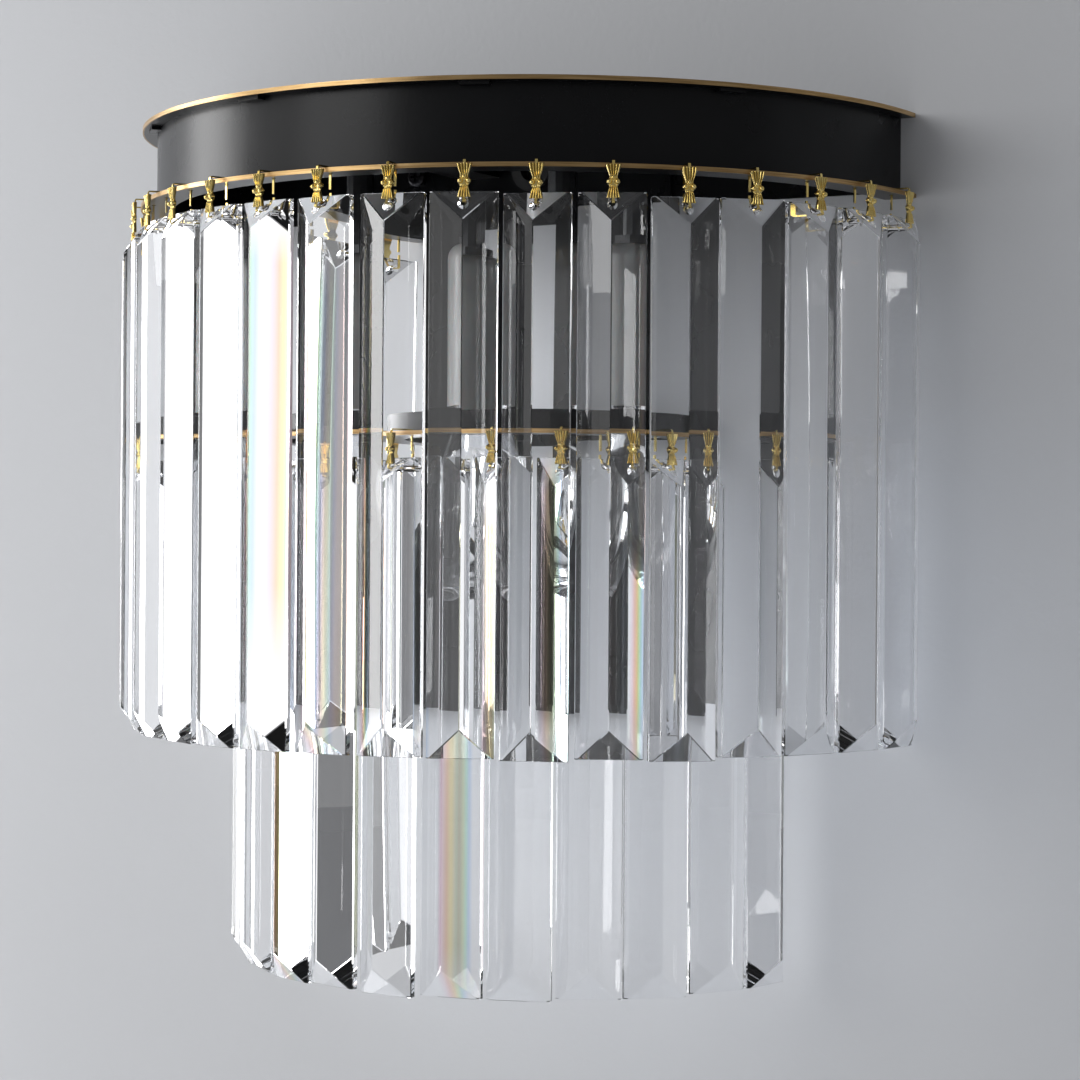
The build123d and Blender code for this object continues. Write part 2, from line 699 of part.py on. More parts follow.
def bow_clips(angles, carrier_radius, carrier_bottom):
    """Bow-tie clips, each bent round the ring's edge above and through its prism below."""
    bow_top = carrier_bottom - bow_drop
    bow_foot = bow_top - bow_height
    bow_back = carrier_radius + bow_standoff
    pin_level = carrier_bottom - prism_gap - prism_hole_drop
    glass_radius = carrier_radius - prism_inset
    hole_radius = carrier_radius - ring_hole_inset
    hook_level = carrier_bottom + ring_thickness + seat_clearance + pin_thickness / 2
    pin_front = glass_radius + glass_at_pin + pin_front_gap + pin_thickness / 2
    pin_back = glass_radius - prism_back - pin_back_gap - pin_thickness / 2
    bow_middle = bow_back + bow_thickness / 2
    hook_route = [
        (bow_middle, bow_top - pin_overlap),
        (bow_middle, hook_level),
        (hole_radius, hook_level),
        (hole_radius, carrier_bottom - pin_tail),
    ]
    pin_route = [
        (bow_middle, bow_foot + pin_overlap),
        (pin_front, pin_level),
        (pin_back, pin_level),
        (pin_back, pin_level + pin_tail),
    ]
    clips = []
    for angle in angles:
        with BuildPart() as clip:
            # bow: fan, neck, knot, neck and foot
            with BuildSketch(facing_plane(angle, bow_back, bow_top)):
                with BuildLine():
                    Polyline(
                        (0, 0), (bow_width / 2, 0),
                        (bow_neck_width / 2, bow_neck_rise - bow_knot_drop),
                        (bow_knot_width / 2, -bow_knot_drop),
                        (bow_neck_width / 2, -bow_neck_rise - bow_knot_drop),
                        (bow_foot_width / 2, -bow_height), (0, -bow_height),
                    )
                    mirror(about=Plane.YZ)
                make_face()
            extrude(amount=bow_thickness)
            # faceted knot
            with BuildSketch(facing_plane(angle, bow_back + bow_thickness,
                                          bow_top - bow_knot_drop)):
                RegularPolygon(bow_neck_width * 0.7, 4)
            extrude(amount=knot_height, taper=30)
            # strips above and below
            with BuildSketch(radial_plane(angle, 0, 0)):
                for route in (hook_route, pin_route):
                    with BuildLine():
                        Polyline(*route)
                    trace(line_width=pin_thickness)
            extrude(amount=pin_width / 2, both=True)
        clips.append(clip.part)
    return clips


upper_clips = Compound(bow_clips(tier_angles(upper_count, upper_pitch), ring_radius, ring_bottom))
upper_clips.label = "upper_clips"
lower_clips = Compound(
    bow_clips(tier_angles(lower_count, lower_pitch), lower_ring_radius, lower_ring_bottom)
)
lower_clips.label = "lower_clips"

# ------------------------------------------------------------------ one file for each piece

pieces = [
    top_plate, canopy_band, upper_hanging_ring, canopy_back, back_plate, wall_bracket,
    cover_screws, earth_screw, cable_grommet, lower_hanging_ring, lower_band, lower_back_bar,
    lower_bar_screws, lamp_bracket, bracket_screws, threaded_nipples, lock_nuts,
    terminal_block, lamp_leads,
]
for piece in pieces + lamp_parts + prisms:
    export_step(piece.part, f"parts/{piece.part.label}.step")
for clips in (upper_clips, lower_clips):
    export_step(clips, f"parts/{clips.label}.step")
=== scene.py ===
import math

import bmesh
import bpy
from mathutils import Matrix, Vector


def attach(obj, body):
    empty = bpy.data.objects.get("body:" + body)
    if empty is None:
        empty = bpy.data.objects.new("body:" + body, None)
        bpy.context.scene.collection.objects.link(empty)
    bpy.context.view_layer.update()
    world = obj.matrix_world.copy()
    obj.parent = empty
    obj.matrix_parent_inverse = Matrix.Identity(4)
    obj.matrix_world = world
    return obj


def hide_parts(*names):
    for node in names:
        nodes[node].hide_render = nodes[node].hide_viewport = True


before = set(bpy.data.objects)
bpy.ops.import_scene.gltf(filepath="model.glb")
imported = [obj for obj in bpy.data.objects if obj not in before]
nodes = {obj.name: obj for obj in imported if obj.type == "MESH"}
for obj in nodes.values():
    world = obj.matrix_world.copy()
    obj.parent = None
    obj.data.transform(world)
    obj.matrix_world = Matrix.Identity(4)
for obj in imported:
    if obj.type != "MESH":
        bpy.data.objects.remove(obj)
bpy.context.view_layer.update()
scene = bpy.context.scene

MM = 0.001

# ---------------------------------------------------------------- sizes, in millimetres

RING_RADIUS = 150.5
RING_BOTTOM = -17.5
LOWER_RING_RADIUS = 108.3
LOWER_RING_BOTTOM = -102.5
RING_THICKNESS = 1.5
RING_HOLE_INSET = 4.0
UPPER_COUNT, UPPER_PITCH = 19, 180 / 19
LOWER_COUNT, LOWER_PITCH = 13, 180 / 14
LAMP_X, LAMP_Y = 42.0, -62.0

# radius from which each painted sheet is gold
TOP_PLATE_GOLD_FROM = 149.4
RING_GOLD_FROM = 149.9
LOWER_RING_GOLD_FROM = 107.7

# a prism is drawn facing -Y: a ridge in front and a flat back
PRISM_HALF_WIDTH = 11.3
PRISM_LENGTH = 185.0
PRISM_RIDGE = 8.2
PRISM_BACK = 1.6
PRISM_SIDE_FRONT = -0.6
PRISM_END_FRONT = 1.3
PRISM_BEVEL = 9.8
PRISM_EDGE_BEVEL = 0.24
# the ring's underside to the prism's top, and the ring's edge to the prism's axis
PRISM_GAP = 8.0
PRISM_INSET = 1.1
PRISM_HOLE_DROP = 3.8
# the straight bore, where it ends, and its countersinks' radii a ridge's depth from the axis
HOLE_RADIUS = 1.15
HOLE_FRONT, HOLE_BACK = -3.1, 1.1
HOLE_MOUTH_FRONT, HOLE_MOUTH_BACK = 3.9, 6.0
HOLE_STEPS = 20


def outward(angle):
    return Vector((math.sin(math.radians(angle)), -math.cos(math.radians(angle)), 0))


def place(angle, radius, height):
    """Matrix that puts a piece drawn facing -Y onto the sconce, with its front outward."""
    return Matrix.Translation(outward(angle) * radius + Vector((0, 0, height))) @ Matrix.Rotation(
        math.radians(angle), 4, "Z")


def tier(count, pitch):
    return [(index - (count - 1) / 2) * pitch for index in range(count)]


# ---------------------------------------------------------------- material helpers


class Nodes:
    """Short way to write a node tree."""

    def __init__(self, name):
        self.material = bpy.data.materials.new(name)
        self.material.use_nodes = True
        self.tree = self.material.node_tree
        self.tree.nodes.clear()
        self.out = self.add("ShaderNodeOutputMaterial")

    def add(self, kind, inputs=None, **settings):
        node = self.tree.nodes.new(kind)
        for key, value in settings.items():
            setattr(node, key, value)
        for key, value in (inputs or {}).items():
            socket = node.inputs[key]
            if isinstance(value, bpy.types.NodeSocket):
                self.tree.links.new(value, socket)
            else:
                socket.default_value = value
        return node

    def math(self, kind, a, b, clamp=False):
        return self.add("ShaderNodeMath", {0: a, 1: b}, operation=kind, use_clamp=clamp).outputs[0]

    def place(self):
        return self.add("ShaderNodeTexCoord").outputs["Object"]

    def scaled(self, scale):
        return self.add("ShaderNodeMapping", {"Vector": self.place(), "Scale": scale}).outputs[0]

    def noise(self, scale, detail, vector=None):
        return self.add("ShaderNodeTexNoise", {
            "Vector": vector or self.place(), "Scale": scale, "Detail": detail}).outputs["Fac"]

    def ramp(self, factor, stops):
        node = self.add("ShaderNodeValToRGB", {"Fac": factor})
        elements = node.color_ramp.elements
        while len(elements) < len(stops):
            elements.new(0.5)
        for element, (position, colour) in zip(elements, stops):
            element.position = position
            element.color = (*colour, 1)
        return node.outputs["Color"]

    def grey(self, factor, low, high, start=0.0, end=1.0):
        return self.add("ShaderNodeMapRange", {
            "Value": factor, "From Min": start, "From Max": end, "To Min": low,
            "To Max": high}).outputs["Result"]

    def mix(self, factor, a, b, blend="MIX"):
        node = self.add("ShaderNodeMix", data_type="RGBA", blend_type=blend)
        for key, value in ((0, factor), (6, a), (7, b)):
            if isinstance(value, bpy.types.NodeSocket):
                self.tree.links.new(value, node.inputs[key])
            else:
                node.inputs[key].default_value = value if key == 0 else (*value, 1)
        return node.outputs[2]

    def bump(self, height, strength, distance):
        return self.add("ShaderNodeBump", {
            "Height": height, "Strength": strength, "Distance": distance}).outputs["Normal"]

    def surface(self, **inputs):
        keys = {key.replace("_", " "): value for key, value in inputs.items()}
        shader = self.add("ShaderNodeBsdfPrincipled", keys)
        self.tree.links.new(shader.outputs[0], self.out.inputs["Surface"])
        return self.material


# ---------------------------------------------------------------- materials

# depth of every fine bump and of the glass's slow waves, in metres
BUMP_DEPTH = 0.0002
WAVE_DEPTH = 0.001
# how far the worn edge of the gold wanders, in metres
GOLD_WANDER = 0.00025
PAINT_BLACKS = [(0.2, (0.0035, 0.0037, 0.0045)), (0.8, (0.007, 0.0074, 0.0085))]
GOLDS = [(0.25, (0.30, 0.185, 0.075)), (0.55, (0.50, 0.33, 0.15)), (0.8, (0.66, 0.46, 0.23))]
CLEAR_TINT, SMEAR_TINT = (0.992, 0.995, 1.0), (0.975, 0.98, 0.99)
# what is left of lamp light behind clear and smeared glass
CLEAR_PASSES, SMEAR_PASSES = (0.89, 0.90, 0.915), (0.86, 0.87, 0.885)
# hues of the painted rainbows: colour that stands in for light split by the prisms
PAINTED_RAINBOW_HUES = [(0.0, (1, 1, 1)), (0.22, (1.0, 0.66, 0.76)), (0.40, (1.0, 0.50, 0.26)),
                (0.55, (1.0, 0.90, 0.30)), (0.70, (0.45, 0.93, 0.60)), (0.84, (0.45, 0.66, 1.0)),
                (1.0, (1, 1, 1))]
# share of the prism's length in which a painted rainbow, colour that stands in for light split by
# the glass, comes in and goes out
PAINTED_RAINBOW_COMES, PAINTED_RAINBOW_GOES = 0.08, 0.2
# strength and wobble of the painted rainbows
PAINTED_RAINBOW_STRENGTH = 0.9
PAINTED_RAINBOW_WOBBLE = 0.05


def paint_and_gold(name, gold_from=None):
    """Satin black paint; past a radius round the wall centre in millimetres, antique gold."""
    n = Nodes(name)
    mottle = n.noise(38, 6)
    fine = n.noise(900, 3)
    rough = n.grey(mottle, 0.24, 0.32)
    black = n.ramp(mottle, PAINT_BLACKS)
    skin = n.bump(fine, 0.12, BUMP_DEPTH)
    if gold_from is None:
        return n.surface(Base_Color=black, Roughness=rough, Normal=skin, Specular_IOR_Level=0.22)
    split = n.add("ShaderNodeSeparateXYZ", {0: n.place()})
    flat = n.add("ShaderNodeCombineXYZ", {"X": split.outputs[0], "Y": split.outputs[1]})
    radius = n.add("ShaderNodeVectorMath", {0: flat.outputs[0]}, operation="LENGTH")
    worn = n.math("ADD", radius.outputs["Value"],
                  n.grey(n.noise(260, 4), -GOLD_WANDER, GOLD_WANDER))
    edge = n.math("GREATER_THAN", worn, gold_from * MM)
    streaks = n.noise(60, 5, n.scaled((1, 1, 26)))
    gold = n.ramp(streaks, GOLDS)
    return n.surface(
        Base_Color=n.mix(edge, black, gold), Roughness=n.grey(edge, 0.28, 0.33),
        Metallic=edge, Normal=skin, Specular_IOR_Level=0.22)


def metal(name, low, high, rough, scale, stretch=(1, 1, 1), bump=0.1, painted_crease_shade=None):
    """Metal between two colours; a given colour of painted shade darkens it where the piece's
    grooves are marked.
    """
    n = Nodes(name)
    grain = n.noise(scale, 5, n.scaled(stretch))
    colour = n.ramp(grain, [(0.3, low), (0.7, high)])
    # the darker colour is painted shade in the grooves
    if painted_crease_shade:
        depth = n.add("ShaderNodeAttribute", attribute_name="painted_crease_shade").outputs["Fac"]
        colour = n.mix(depth, colour, painted_crease_shade)
    return n.surface(Base_Color=colour, Roughness=n.grey(grain, *rough), Metallic=1.0,
                     Normal=n.bump(grain, bump, BUMP_DEPTH))


def plastic(name, low, high, rough=(0.3, 0.45), scale=200, through=0.0, coat=0.0):
    n = Nodes(name)
    grain = n.noise(scale, 5)
    return n.surface(
        Base_Color=n.ramp(grain, [(0.3, low), (0.7, high)]),
        Roughness=n.grey(grain, *rough), Subsurface_Weight=through, Subsurface_Scale=0.002,
        Coat_Weight=coat, Normal=n.bump(grain, 0.08, BUMP_DEPTH))


def glass(name, tint=CLEAR_TINT, ior=1.53, rough=(0.0, 0.003), wave=0.0006, painted_rainbow=None):
    """Clear glass that lets lamp light through to what stands behind it.

    A painted rainbow, colour that stands in for light split by the glass, is (centre, half width,
    slant, top, bottom) over the face, in shares of the face's width and length.
    """
    n = Nodes(name)
    smear = n.noise(30, 4)
    slow = n.noise(14, 2)
    colour = n.mix(smear, tint, SMEAR_TINT)
    # painted rainbow: a band of hues over the face, standing in for light split by the glass
    if painted_rainbow:
        centre, half_width, slant, top, bottom = painted_rainbow
        face = n.add("ShaderNodeUVMap", uv_map="face").outputs["UV"]
        split = n.add("ShaderNodeSeparateXYZ", {0: face})
        shifted = n.math("SUBTRACT", split.outputs[0], n.math("MULTIPLY", split.outputs[1], slant))
        wobble = n.grey(n.noise(45, 3, n.scaled((1, 1, 0.08))), -PAINTED_RAINBOW_WOBBLE, PAINTED_RAINBOW_WOBBLE)
        band = n.grey(n.math("ADD", shifted, wobble), 0.0, 1.0, centre - half_width,
                      centre + half_width)
        hues = n.ramp(band, PAINTED_RAINBOW_HUES)
        fade_in = n.grey(split.outputs[1], 0.0, 1.0, top, top + PAINTED_RAINBOW_COMES)
        fade_out = n.grey(split.outputs[1], 1.0, 0.0, bottom - PAINTED_RAINBOW_GOES, bottom)
        strength = n.math("MULTIPLY", n.math("MULTIPLY", fade_in, fade_out, True),
                          PAINTED_RAINBOW_STRENGTH, True)
        colour = n.mix(strength, colour, n.mix(1.0, colour, hues, "MULTIPLY"))
    shader = n.add("ShaderNodeBsdfPrincipled", {
        "Base Color": colour, "Roughness": n.grey(smear, *rough), "Transmission Weight": 1.0,
        "IOR": ior, "Normal": n.bump(slow, wave, WAVE_DEPTH)})
    clear = n.add("ShaderNodeBsdfTransparent", {
        "Color": n.mix(smear, CLEAR_PASSES, SMEAR_PASSES)})
    shadow = n.add("ShaderNodeLightPath").outputs["Is Shadow Ray"]
    mix = n.add("ShaderNodeMixShader", {0: shadow, 1: shader.outputs[0], 2: clear.outputs[0]})
    n.tree.links.new(mix.outputs[0], n.out.inputs["Surface"])
    return n.material


black_paint = paint_and_gold("satin_black_paint")
rim_paint = paint_and_gold("black_paint_gold_rim", TOP_PLATE_GOLD_FROM)
ring_paint = paint_and_gold("black_paint_gold_ring", RING_GOLD_FROM)
lower_ring_paint = paint_and_gold("black_paint_gold_lower_ring", LOWER_RING_GOLD_FROM)
zinc = metal("zinc_plated_steel", (0.05, 0.052, 0.055), (0.10, 0.102, 0.105), (0.3, 0.5), 60)
black_screw = metal("blackened_screws", (0.02, 0.02, 0.022), (0.05, 0.05, 0.055), (0.3, 0.45), 300)
brass_nipple = metal("plain_brass", (0.55, 0.40, 0.16), (0.72, 0.56, 0.27), (0.2, 0.35), 200)
# the clips' dark brown colour is painted shade in the grooves between the bows' flutes
clip_gold = metal("stamped_brass_clips", (0.84, 0.60, 0.17), (1.0, 0.82, 0.34), (0.07, 0.16), 500,
                  (1, 1, 0.4), 0.15, painted_crease_shade=(0.10, 0.06, 0.015))
nickel = metal("nickel_lamp_cap", (0.60, 0.58, 0.54), (0.74, 0.72, 0.68), (0.2, 0.35), 200)
rubber = plastic("black_rubber", (0.010, 0.010, 0.010), (0.022, 0.022, 0.023), (0.6, 0.8), 400)
terminal_white = plastic("white_terminal_plastic", (0.70, 0.70, 0.67), (0.80, 0.80, 0.78))
lead_white = plastic("lead_insulation", (0.62, 0.62, 0.60), (0.76, 0.76, 0.74), (0.4, 0.55))
# white sleeve plastic made grey: painted shade from the canopy over the sleeves
candle_white_painted_shade = plastic("candle_sleeve_plastic_painted_shade", (0.24, 0.24, 0.235), (0.30, 0.30, 0.29),
                       (0.28, 0.4), 60, 0.3, 0.2)
holder_black = plastic("lamp_holder_plastic", (0.012, 0.012, 0.012), (0.028, 0.028, 0.03))
crystal_glass = glass("cut_crystal")
# crystals that carry a painted rainbow, clear glass with colour standing in for light split by the
# glass
crystal_painted_rainbows = {
    "upper_crystal_09": glass("cut_crystal_painted_rainbow_u09", painted_rainbow=(0.45, 0.22, -0.05, 0.03, 0.9)),
    "upper_crystal_10": glass("cut_crystal_painted_rainbow_u10", painted_rainbow=(0.60, 0.20, -0.12, 0.10, 1.1)),
    "upper_crystal_11": glass("cut_crystal_painted_rainbow_u11", painted_rainbow=(0.16, 0.10, 0.0, 0.30, 1.1)),
    "upper_crystal_13": glass("cut_crystal_painted_rainbow_u13", painted_rainbow=(0.72, 0.13, 0.0, 0.45, 1.1)),
    "upper_crystal_14": glass("cut_crystal_painted_rainbow_u14", painted_rainbow=(0.90, 0.10, 0.0, 0.60, 1.1)),
    "lower_crystal_05": glass("cut_crystal_painted_rainbow_l05", painted_rainbow=(0.55, 0.22, 0.0, 0.05, 1.1)),
    "lower_crystal_08": glass("cut_crystal_painted_rainbow_l08", painted_rainbow=(0.60, 0.20, 0.0, 0.05, 1.1)),
}
bulb_glass = glass("bulb_glass", (0.97, 0.97, 0.96), 1.45, (0.01, 0.03), 0.01)

node_materials = {
    "top_plate": rim_paint, "canopy_band": black_paint, "upper_hanging_ring": ring_paint,
    "canopy_back": black_paint, "back_plate": black_paint, "wall_bracket": zinc,
    "cover_screws": black_screw, "earth_screw": brass_nipple, "cable_grommet": rubber,
    "lower_hanging_ring": lower_ring_paint, "lower_band": black_paint,
    "lower_back_bar": black_paint, "lower_bar_screws": black_screw, "lamp_bracket": black_paint,
    "bracket_screws": black_screw, "threaded_nipples": zinc, "lock_nuts": zinc,
    "terminal_block": terminal_white, "lamp_leads": lead_white,
    "candle_sleeve_left": candle_white_painted_shade, "candle_sleeve_right": candle_white_painted_shade,
    "lamp_holder_left": holder_black, "lamp_holder_right": holder_black,
    "bulb_left": bulb_glass, "bulb_right": bulb_glass,
    "upper_clips": clip_gold, "lower_clips": clip_gold,
}
for name, node in nodes.items():
    node.data.materials.clear()
    node.data.materials.append(node_materials.get(name, crystal_glass))

# ---------------------------------------------------------------- prisms

# turn of a prism about its hook in degrees, its sideways play on its pin and its drop below
# the ring in millimetres; its clip drops with it and follows most of its turn
UPPER_HANG = {
    2: (3, 0.2, 0), 4: (-3, -0.2, 0.3), 6: (2, 0.3, 0), 7: (-2.5, 0.4, 0), 8: (-2, 0.4, 0),
    9: (-3.5, 0.3, 0), 10: (-7, 0, 0), 11: (1.5, 0.3, 0), 12: (8, -0.4, 0), 13: (-10, -0.1, 0.6),
    14: (-12, -0.1, 0), 15: (-8.5, -0.2, 0.8), 16: (-12, 0.2, 0), 17: (0, -0.4, 0),
    18: (-0.5, -0.1, 0), 19: (1, 0.4, 0),
}
LOWER_HANG = {
    2: (2, 0, 0), 3: (-2, 0, 0.3), 4: (-3, 0, 0), 5: (2, 0.3, 0.6), 6: (-4, 0, 0), 7: (-7, 0, 0.8),
    8: (-6, 0.3, 0), 9: (-9, 0, 0.4), 10: (-12, 0, 0), 11: (-8, -0.3, 0.5), 12: (-5, 0, 0),
    13: (2, 0, 0),
}
HANGS_STRAIGHT = (0, 0, 0)


def prism_shape():
    """Cut-glass prism round its own axis, front at -Y and top at zero, with fine bevels."""
    points = []
    slope = (PRISM_RIDGE + PRISM_SIDE_FRONT) / PRISM_HALF_WIDTH
    shoulder = (PRISM_RIDGE - PRISM_END_FRONT) / slope
    for end, inward in ((0, -PRISM_BEVEL), (-PRISM_LENGTH, PRISM_BEVEL)):
        for side in (-1, 1):
            points.append((side * PRISM_HALF_WIDTH, PRISM_BACK, end))
            points.append((side * PRISM_HALF_WIDTH, PRISM_SIDE_FRONT, end))
            points.append((side * shoulder, -PRISM_END_FRONT, end))
        points.append((0, -PRISM_RIDGE, end + inward))
    shape = bmesh.new()
    for point in points:
        shape.verts.new(Vector(point) * MM)
    bmesh.ops.convex_hull(shape, input=shape.verts)
    bmesh.ops.dissolve_limit(shape, angle_limit=math.radians(0.8), verts=shape.verts,
                             edges=shape.edges)
    bmesh.ops.recalc_face_normals(shape, faces=shape.faces)
    bmesh.ops.bevel(shape, geom=list(shape.edges), offset=PRISM_EDGE_BEVEL * MM, segments=1,
                    affect="EDGES", clamp_overlap=True)
    mesh = bpy.data.meshes.new("prism")
    shape.to_mesh(mesh)
    shape.free()
    return mesh


def pin_hole():
    """Cutter for the round pin hole, with a countersunk mouth on both faces."""
    shape = bmesh.new()
    rings = []
    for depth, radius in ((-PRISM_RIDGE, HOLE_MOUTH_FRONT), (HOLE_FRONT, HOLE_RADIUS),
                          (HOLE_BACK, HOLE_RADIUS), (PRISM_RIDGE, HOLE_MOUTH_BACK)):
        rings.append([shape.verts.new(Vector((radius * math.cos(turn), depth,
                                              radius * math.sin(turn) - PRISM_HOLE_DROP)) * MM)
                      for turn in (2 * math.pi * step / HOLE_STEPS for step in range(HOLE_STEPS))])
    for near, far in zip(rings, rings[1:]):
        for step in range(HOLE_STEPS):
            after = (step + 1) % HOLE_STEPS
            shape.faces.new((near[step], near[after], far[after], far[step]))
    shape.faces.new(rings[0])
    shape.faces.new(reversed(rings[-1]))
    bmesh.ops.recalc_face_normals(shape, faces=shape.faces)
    mesh = bpy.data.meshes.new("pin_hole")
    shape.to_mesh(mesh)
    shape.free()
    return mesh


def drilled_prism():
    """Prism mesh with its pin hole and, as UVs, each point's share of the width and length."""
    body = bpy.data.objects.new("prism_master", prism_shape())
    cutter = bpy.data.objects.new("prism_cutter", pin_hole())
    scene.collection.objects.link(body)
    scene.collection.objects.link(cutter)
    drill = body.modifiers.new("drill", "BOOLEAN")
    drill.operation = "DIFFERENCE"
    drill.solver = "EXACT"
    drill.object = cutter
    bpy.context.view_layer.update()
    shape = bpy.data.meshes.new_from_object(
        body.evaluated_get(bpy.context.evaluated_depsgraph_get()))
    bpy.data.objects.remove(body)
    bpy.data.objects.remove(cutter)
    face = shape.uv_layers.new(name="face")
    for loop in shape.loops:
        point = shape.vertices[loop.vertex_index].co
        face.data[loop.index].uv = (0.5 + point.x / (2 * PRISM_HALF_WIDTH * MM),
                                    -point.z / (PRISM_LENGTH * MM))
    return shape


def hang_prism(node, shape, matrix, body):
    """Put one prism in place of its CAD node, on that node's body."""
    mesh = shape.copy()
    mesh.name = node + "_cut"
    mesh.transform(matrix)
    mesh.materials.clear()
    mesh.materials.append(crystal_painted_rainbows.get(node, crystal_glass))
    piece = bpy.data.objects.new(node + "_cut", mesh)
    scene.collection.objects.link(piece)
    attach(piece, body)
    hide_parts(node)


prism = drilled_prism()
for tier_name, count, pitch, ring_radius, ring_bottom, hangs in (
        ("upper", UPPER_COUNT, UPPER_PITCH, RING_RADIUS, RING_BOTTOM, UPPER_HANG),
        ("lower", LOWER_COUNT, LOWER_PITCH, LOWER_RING_RADIUS, LOWER_RING_BOTTOM, LOWER_HANG)):
    for number, angle in enumerate(tier(count, pitch), start=1):
        twist, play, drop = hangs.get(number, HANGS_STRAIGHT)
        hook = place(angle, (ring_radius - RING_HOLE_INSET) * MM,
                     (ring_bottom - PRISM_GAP - drop) * MM)
        from_hook = (RING_HOLE_INSET - PRISM_INSET) * MM
        matrix = (hook @ Matrix.Rotation(math.radians(twist), 4, "Z")
                  @ Matrix.Translation((play * MM, -from_hook, 0)))
        name = f"{tier_name}_crystal_{number:02d}"
        hang_prism(name, prism, matrix, name)

# ---------------------------------------------------------------- clips

# share of a prism's turn that its clip follows
CLIP_TURN = 0.85
# the bow's back in front of the ring's edge, and its top above the ring's underside
BOW_STANDOFF = 2.4
BOW_RISE = 0.7
BOW_HEIGHT = 11.0
# half width of the bow at each drop below its top edge
BOW_OUTLINE = [(0.0, 2.6), (1.8, 2.1), (3.8, 1.35), (4.5, 1.4), (5.2, 2.2), (5.8, 2.35),
               (6.4, 1.9), (7.2, 1.3), (9.2, 1.95), (11.0, 2.3)]
BOW_ROWS, BOW_COLUMNS = 44, 41
# thickness at the knot, and how it grows with the distance from the knot
BOW_THICKNESS, BOW_FLARE = 0.45, 0.08
BOW_FLUTES, FLUTE_DEPTH = 5, 0.5
# distance from the knot where the flutes begin, and the length in which they deepen
FLUTES_FROM, FLUTES_GROW = 1.0, 1.2
# the same for the painted shade in the grooves between flutes, and its greatest darkness
CREASE_SHADE_FROM, CREASE_SHADE_GROW, CREASE_SHADE_DARK = 1.2, 0.8, 0.85
# share of the half width from which the edge is rounded off, and the rim's loss of depth
BOW_EDGE_FROM, BOW_EDGE_LOSS = 0.9, 0.5
# the rivet's and lobes' heights stand on this level
STUD_BASE = 0.5
RIVET_DROP, RIVET_RADIUS, RIVET_HEIGHT = 4.3, 0.75, 0.85
KNOT_DROP = 5.7
LOBE_ACROSS, LOBE_HALF_WIDTH, LOBE_HALF_HEIGHT, LOBE_HEIGHT = 1.35, 0.95, 1.0, 1.35
PIN_WIDTH = 0.9
PIN_THICKNESS = 0.5
PIN_TAIL = 5.3
PIN_FRONT_GAP = 0.8
PIN_BACK_GAP = 1.3
# the hook above the ring, the strips' ends in front of the bow's back, and their length in it
HOOK_GAP = 0.25
STRIP_ROOT = 0.4
STRIP_OVERLAP = 1.0
BEND_REACH, BEND_STEPS = 0.7, 4


def bow_half_width(drop):
    for (start, first), (end, second) in zip(BOW_OUTLINE, BOW_OUTLINE[1:]):
        if drop <= end:
            return first + (second - first) * (drop - start) / (end - start)
    return BOW_OUTLINE[-1][1]


def bow_depth(share, across, drop):
    """How far the stamped front stands out: fluted fans, a rivet and two lobes of the knot."""
    from_knot = abs(drop - KNOT_DROP)
    fan = min(1.0, max(0.0, (from_knot - FLUTES_FROM) / FLUTES_GROW))
    flutes = 0.5 + 0.5 * math.cos(BOW_FLUTES * math.pi * share)
    depth = BOW_THICKNESS + BOW_FLARE * from_knot + fan * FLUTE_DEPTH * flutes
    rivet = 1.0 - (across ** 2 + (drop - RIVET_DROP) ** 2) / RIVET_RADIUS ** 2
    if rivet > 0:
        depth = max(depth, STUD_BASE + RIVET_HEIGHT * math.sqrt(rivet))
    for side in (-1, 1):
        lobe = (1.0 - ((across - side * LOBE_ACROSS) / LOBE_HALF_WIDTH) ** 2
                - (from_knot / LOBE_HALF_HEIGHT) ** 2)
        if lobe > 0:
            depth = max(depth, STUD_BASE + LOBE_HEIGHT * math.sqrt(lobe))
    return depth


def bow_mesh():
    """One bow: points (across, outward, up) from its back's top middle, faces and painted groove
    shade.
    """
    points, faces, painted_crease_shades = [], [], []
    for back in (False, True):
        for row in range(BOW_ROWS + 1):
            drop = BOW_HEIGHT * row / BOW_ROWS
            for column in range(BOW_COLUMNS):
                share = 2 * column / (BOW_COLUMNS - 1) - 1
                across = share * bow_half_width(drop)
                edge = max(0.0, (abs(share) - BOW_EDGE_FROM) / (1.0 - BOW_EDGE_FROM))
                rounded = 1 - BOW_EDGE_LOSS * edge ** 2
                depth = 0 if back else bow_depth(share, across, drop) * rounded
                points.append((across, depth, -drop))
                # painted shade in the grooves between the flutes, darkest in the fans
                groove = 0.5 - 0.5 * math.cos(BOW_FLUTES * math.pi * share)
                fan = min(1.0, max(0.0, (abs(drop - KNOT_DROP) - CREASE_SHADE_FROM) / CREASE_SHADE_GROW))
                painted_crease_shades.append(0.0 if back else CREASE_SHADE_DARK * fan * groove ** 3)
    side = (BOW_ROWS + 1) * BOW_COLUMNS
    for row in range(BOW_ROWS):
        for column in range(BOW_COLUMNS - 1):
            a = row * BOW_COLUMNS + column
            b = a + BOW_COLUMNS
            faces.append((a, b, b + 1, a + 1))
            faces.append((side + a, side + a + 1, side + b + 1, side + b))
        for a in (row * BOW_COLUMNS, row * BOW_COLUMNS + BOW_COLUMNS - 1):
            faces.append((a, side + a, side + a + BOW_COLUMNS, a + BOW_COLUMNS))
    for column in range(BOW_COLUMNS - 1):
        for a in (column, BOW_ROWS * BOW_COLUMNS + column):
            faces.append((a, a + 1, side + a + 1, side + a))
    return points, faces, painted_crease_shades


